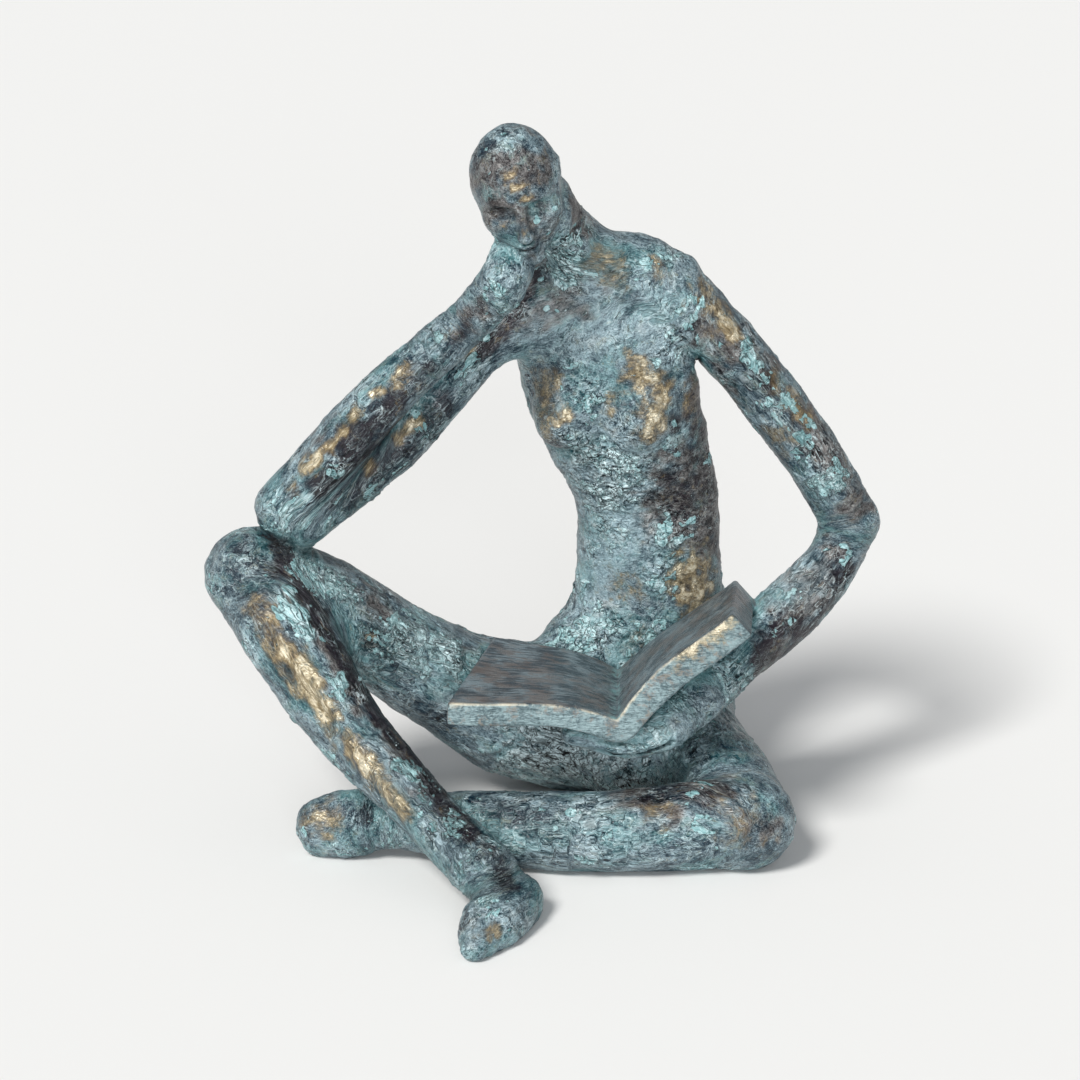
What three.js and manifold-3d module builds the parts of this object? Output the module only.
// Reading figure: a slender seated woman cast in one piece with the open book on her lap.
// Millimetres, +Z up. She faces -Y, her right side is on -X, and she sits on the plane Z = 0.
import * as THREE from 'three';
import { mergeVertices } from 'three/addons/utils/BufferGeometryUtils.js';
import Module from 'manifold-3d';

const wasm = await Module();
wasm.setup();

// Driving dimensions
const sides = 12;
const ringStep = 12;
const domeRings = 3;
const originShift = new THREE.Vector3(-3, 49, 0);
const groundDepth = 40;
const groundReach = 500;

// Joints of the figure, before originShift is added
const joints = {
  seat: [45, 27, 22],
  belly: [43.6, 21, 88],
  waist: [42, 16, 122],
  chest: [29.5, 6, 163],
  neckBase: [21, -3, 213],
  nape: [24, 3, 215],
  yokeLeft: [36, 0, 216.5],
  neckMiddle: [9, -11, 235],
  neckTop: [-3, -22, 250],
  headCentre: [-8, -31, 256.5],
  shoulderLeft: [50, -1, 209.5],
  armLeft: [79.6, 5, 176.6],
  armLowLeft: [110.8, 7.3, 133.5],
  elbowLeft: [123, 8, 112],
  forearmTopLeft: [114.3, -3, 97.2],
  forearmLeft: [103.6, -12, 88],
  forearmLowLeft: [93.9, -20.3, 82],
  wristLeft: [76, -36, 71],
  palmLeft: [60, -50, 59.5],
  knucklesLeft: [41, -60, 50],
  fingertipsLeft: [13, -62, 51],
  shoulderRight: [-5, -2, 200.5],
  armUpperRight: [-23, -8.5, 188],
  armRight: [-54.8, -22.5, 157.2],
  elbowRight: [-97.3, -31, 131.3],
  elbowUnderRight: [-91, -30, 128.5],
  forearmRight: [-60.4, -39, 176.2],
  wristRight: [-23, -36, 210.8],
  palmRight: [-13.5, -38, 223.5],
  fingersRight: [-9.5, -31, 232.5],
  hipRight: [20, 15, 22.5],
  groinRight: [-8.6, 4.1, 33],
  thighRight: [-33, -5, 47.2],
  thighUpperRight: [-84.5, -23, 87.2],
  kneeRight: [-110.5, -32, 104.2],
  shinRight: [-74.2, -62, 55],
  shinLowRight: [-59.4, -73.5, 42.3],
  calfRight: [-44.6, -86, 30.4],
  ankleRight: [-20.5, -110, 16],
  heelRight: [-9.5, -116, 6.3],
  archRight: [-16, -128, 5.5],
  toesRight: [-24, -149.8, 4],
  hipLeft: [57, 20, 24],
  thighLeft: [66.5, -22, 21],
  kneeLeft: [79.2, -68, 16.8],
  shinLeft: [20, -73, 14.8],
  ankleLeft: [-61, -61, 14.1],
  archLeft: [-74, -61, 12.5],
  toesLeft: [-84.5, -60, 10.5],
};

// The figure as limbs: the joints each one runs through, its half widths at even steps along it,
// its depth as a share of its width, and the direction in which that depth is measured
const limbs = [
  {
    through: ['seat', 'belly', 'waist', 'chest', 'neckBase'],
    halfWidths: [33, 34, 32, 29.2, 28.3, 28.8, 31.6, 34.6, 35, 26.5],
    flatness: [0.84, 0.82, 0.7, 0.62, 0.6, 0.6, 0.6, 0.58, 0.54, 0.5],
    front: [-0.15, -1, 0],
    sides: 20,
  },
  {
    through: ['nape', 'neckMiddle', 'neckTop'],
    halfWidths: [13, 12.4, 11.4, 11],
    flatness: [1],
    front: [0, -1, 0],
  },
  {
    through: ['shoulderRight', 'neckBase', 'yokeLeft', 'shoulderLeft'],
    halfWidths: [13, 14.3, 15.8, 15.8, 14.8, 13.6],
    flatness: [0.85],
    front: [0, -1, 0],
  },
  {
    through: ['shoulderLeft', 'armLeft', 'armLowLeft', 'elbowLeft'],
    halfWidths: [13.6, 13.2, 12, 12.1, 11.8, 11.6],
    flatness: [1],
    front: [0, -1, 0],
  },
  {
    through: ['elbowLeft', 'forearmTopLeft', 'forearmLeft', 'forearmLowLeft', 'wristLeft', 'palmLeft'],
    halfWidths: [11.4, 11.3, 12.4, 12.2, 10.6, 9.7],
    flatness: [1],
    front: [0, -1, 0],
  },
  {
    through: ['palmLeft', 'knucklesLeft', 'fingertipsLeft'],
    halfWidths: [9.4, 9, 7.5, 5],
    flatness: [1, 1.2, 1.5, 1.5],
    front: [0, -1, 0],
  },
  {
    through: ['shoulderRight', 'armUpperRight', 'armRight', 'elbowUnderRight'],
    halfWidths: [13.6, 10.8, 10.9, 12.2, 12.6, 12.8],
    flatness: [1],
    front: [0, -1, 0],
  },
  {
    through: ['elbowRight', 'forearmRight', 'wristRight'],
    halfWidths: [12.4, 11.5, 11.3, 10.5, 9.5, 8.6],
    flatness: [1],
    front: [0, -1, 0],
  },
  {
    through: ['wristRight', 'palmRight', 'fingersRight'],
    halfWidths: [8.6, 9.8, 8.8],
    flatness: [0.9],
    front: [0, -1, 0],
  },
  {
    through: ['hipRight', 'groinRight', 'thighRight', 'thighUpperRight', 'kneeRight'],
    halfWidths: [29.6, 28, 21.8, 19.7, 20.6, 18.3],
    flatness: [1],
    front: [0, -1, 0],
    sides: 16,
  },
  {
    through: ['kneeRight', 'shinRight', 'shinLowRight', 'calfRight', 'ankleRight'],
    halfWidths: [18.4, 18.2, 16.1, 13.6, 11.9, 10.7, 12.4],
    flatness: [1, 1, 1, 1, 1.1, 1.1, 1],
    front: [0, -1, 0],
  },
  {
    through: ['heelRight', 'archRight', 'toesRight'],
    halfWidths: [11.4, 12.7, 12.4, 9.4, 5.5],
    flatness: [1, 0.9, 0.85, 0.8, 0.9],
    front: [0, 0, 1],
  },
  {
    through: ['hipLeft', 'thighLeft', 'kneeLeft'],
    halfWidths: [22, 20.5, 20.6, 18.6],
    flatness: [1],
    front: [0, 0, 1],
    sides: 16,
  },
  {
    through: ['kneeLeft', 'shinLeft', 'ankleLeft'],
    halfWidths: [17.5, 17.3, 15.9, 15.5, 14.5, 12.6, 10],
    flatness: [1],
    front: [0, -1, 0],
  },
  {
    through: ['ankleLeft', 'archLeft', 'toesLeft'],
    halfWidths: [10, 14.3, 12.2],
    flatness: [0.9, 0.85, 0.8],
    front: [0, -1, 0],
  },
];

// Rounded masses: centre, half sizes along their own X, Y and Z, and turns about X, Y and Z in degrees
const masses = [
  { centre: 'headCentre', half: [17, 19.5, 26], turn: [20, -11, 0] },
  { centre: [42, -6, 22], half: [34, 30, 20], turn: [0, 0, 0] },
  { centre: [21.3, 18, 48], half: [23.5, 22.5, 24.5], turn: [0, 0, 0] },
  { centre: [10.2, -6.5, 162], half: [13.5, 12.5, 15], turn: [0, 0, 0] },
  { centre: [38, -7.5, 162], half: [14, 13, 16], turn: [0, 0, 0] },
  { centre: [55, 31, 27], half: [23.5, 26, 30.5], turn: [0, 0, 0] },
  { centre: [29, 31, 27], half: [24.5, 26, 30.5], turn: [0, 0, 0] },
];

// The open book: the front and back ends of its outer edges and of the valley between the pages,
// on the upper face, how far each page arches above a straight line, and how thick each half is
const book = {
  leftEdge: { front: [-35, -76, 69.4], back: [-18, -8, 69.5] },
  valley: { front: [29, -76, 62.5], back: [31, -8, 55.5] },
  rightEdge: { front: [71.5, -78, 106], back: [76.5, -16, 96.5] },
  arch: { left: { front: 3.5, back: 3 }, right: { front: 5, back: 1.5 } },
  thickness: { left: 9.3, right: 11.5 },
  stationsPerPage: 7,
};

const point = (place) => new THREE.Vector3(...(typeof place === 'string' ? joints[place] : place));

// Value at share s of a list of evenly spaced values, with smooth steps between them
function along(values, s) {
  if (values.length === 1) return values[0];
  const place = s * (values.length - 1);
  const low = Math.min(Math.floor(place), values.length - 2);
  const ease = THREE.MathUtils.smoothstep(place - low, 0, 1);
  const mix = 0.5 * (place - low) + 0.5 * ease;
  return values[low] + (values[low + 1] - values[low]) * mix;
}

// One closed skin over a stack of rings that all have the same number of points, with a pole at each end
function skin(rings, startPole, endPole) {
  const count = rings[0].length;
  const positions = [];
  for (const ring of rings) {
    for (const p of ring) positions.push(p.x, p.y, p.z);
  }
  positions.push(startPole.x, startPole.y, startPole.z, endPole.x, endPole.y, endPole.z);
  const startIndex = rings.length * count;
  const endIndex = startIndex + 1;
  const triangles = [];
  for (let k = 0; k < count; k++) {
    const next = (k + 1) % count;
    triangles.push(startIndex, next, k);
    for (let r = 0; r + 1 < rings.length; r++) {
      const low = r * count;
      const high = low + count;
      triangles.push(low + k, low + next, high + next);
      triangles.push(low + k, high + next, high + k);
    }
    const last = (rings.length - 1) * count;
    triangles.push(endIndex, last + k, last + next);
  }
  return solid(positions, triangles);
}

function solid(positions, triangles) {
  return new wasm.Manifold(new wasm.Mesh({
    numProp: 3,
    vertProperties: new Float32Array(positions),
    triVerts: new Uint32Array(triangles),
  }));
}

// A limb: elliptical rings along a smooth curve, with a rounded dome on each end
function limbSolid(limb) {
  const curve = new THREE.CatmullRomCurve3(limb.through.map(point));
  const steps = Math.max(3, Math.round(curve.getLength() / ringStep));
  const count = limb.sides ?? sides;
  const front = new THREE.Vector3(...limb.front).normalize();
  const ringAt = (s, shrink, slide) => {
    const tangent = curve.getTangentAt(s);
    const across = new THREE.Vector3().crossVectors(front, tangent).normalize();
    const forward = new THREE.Vector3().crossVectors(tangent, across);
    const halfWidth = along(limb.halfWidths, s);
    const halfDepth = halfWidth * along(limb.flatness, s);
    const centre = curve.getPointAt(s).addScaledVector(tangent, slide * Math.min(halfWidth, halfDepth));
    const ring = [];
    for (let k = 0; k < count; k++) {
      const angle = (2 * Math.PI * k) / count;
      ring.push(centre.clone()
        .addScaledVector(across, shrink * halfWidth * Math.cos(angle))
        .addScaledVector(forward, shrink * halfDepth * Math.sin(angle)));
    }
    return ring;
  };
  const poleAt = (s, slide) => {
    const ring = ringAt(s, 0, slide);
    return ring[0];
  };
  const rings = [];
  for (let k = 1; k < domeRings; k++) {
    const angle = (k / domeRings) * (Math.PI / 2);
    rings.push(ringAt(0, Math.sin(angle), -Math.cos(angle)));
  }
  for (let k = 0; k <= steps; k++) rings.push(ringAt(k / steps, 1, 0));
  for (let k = domeRings - 1; k > 0; k--) {
    const angle = (k / domeRings) * (Math.PI / 2);
    rings.push(ringAt(1, Math.sin(angle), Math.cos(angle)));
  }
  return skin(rings, poleAt(0, -1), poleAt(1, 1));
}

// An egg-shaped or rounded mass
function massSolid(mass) {
  const geometry = new THREE.SphereGeometry(1, 14, 9);
  geometry.deleteAttribute('normal');
  geometry.deleteAttribute('uv');
  const merged = mergeVertices(geometry, 1e-5);
  const [turnX, turnY, turnZ] = mass.turn.map(THREE.MathUtils.degToRad);
  const place = new THREE.Matrix4().compose(
    point(mass.centre),
    new THREE.Quaternion().setFromEuler(new THREE.Euler(turnX, turnY, turnZ, 'ZYX')),
    new THREE.Vector3(...mass.half),
  );
  merged.applyMatrix4(place);
  return solid(merged.attributes.position.array, merged.index.array);
}

// One page of the book as a row of points from its outer edge to the valley, at its front or back end
function pageLine(edge, arch, end) {
  const outer = point(edge[end]);
  const valley = point(book.valley[end]);
  const line = [];
  for (let k = 0; k <= book.stationsPerPage; k++) {
    const u = k / book.stationsPerPage;
    const p = outer.clone().lerp(valley, u);
    p.z += arch[end] * Math.sin(Math.PI * u ** 1.6);
    line.push(p);
  }
  return line;
}

// The book: a bent slab whose section follows both pages, its underside square below the upper face
function bookSolid() {
  const lines = {};
  for (const end of ['front', 'back']) {
    const left = pageLine(book.leftEdge, book.arch.left, end);
    const right = pageLine(book.rightEdge, book.arch.right, end).reverse();
    lines[end] = [...left, ...right.slice(1)];
  }
  const below = (line, k) => {
    const before = line[Math.max(k - 1, 0)];
    const after = line[Math.min(k + 1, line.length - 1)];
    const run = Math.hypot(after.x - before.x, after.z - before.z);
    const down = new THREE.Vector3((after.z - before.z) / run, 0, -(after.x - before.x) / run);
    const onRight = THREE.MathUtils.smoothstep(k, book.stationsPerPage - 1, book.stationsPerPage + 3);
    const thickness = THREE.MathUtils.lerp(book.thickness.left, book.thickness.right, onRight);
    return line[k].clone().addScaledVector(down, thickness);
  };
  const rings = lines.front.map((frontTop, k) => [
    below(lines.back, k),
    lines.back[k],
    frontTop,
    below(lines.front, k),
  ]);
  const middle = (ring) => ring.reduce((sum, p) => sum.add(p), new THREE.Vector3()).divideScalar(ring.length);
  return skin(rings, middle(rings[0]), middle(rings[rings.length - 1]));
}

let body = limbSolid(limbs[0]);
for (const limb of limbs.slice(1)) body = body.add(limbSolid(limb));
for (const mass of masses) body = body.add(massSolid(mass));
body = body.add(bookSolid());

// The underside is flat where the figure meets what it sits on
const ground = new THREE.BoxGeometry(groundReach, groundReach, groundDepth);
ground.deleteAttribute('normal');
ground.deleteAttribute('uv');
const slab = mergeVertices(ground);
slab.translate(0, 0, -groundDepth / 2);
body = body.subtract(solid(slab.attributes.position.array, slab.index.array));

const mesh = body.getMesh();
const geometry = new THREE.BufferGeometry();
geometry.setAttribute('position', new THREE.BufferAttribute(mesh.vertProperties, 3));
geometry.setIndex(new THREE.BufferAttribute(mesh.triVerts, 1));
geometry.translate(originShift.x, originShift.y, originShift.z);

const patina = new THREE.MeshStandardMaterial({ color: 0x4f6468, roughness: 0.62, metalness: 0.35 });
const figure = new THREE.Mesh(geometry, patina);
figure.name = 'reading_figure';

const sculpture = new THREE.Group();
sculpture.add(figure);

export default sculpture;
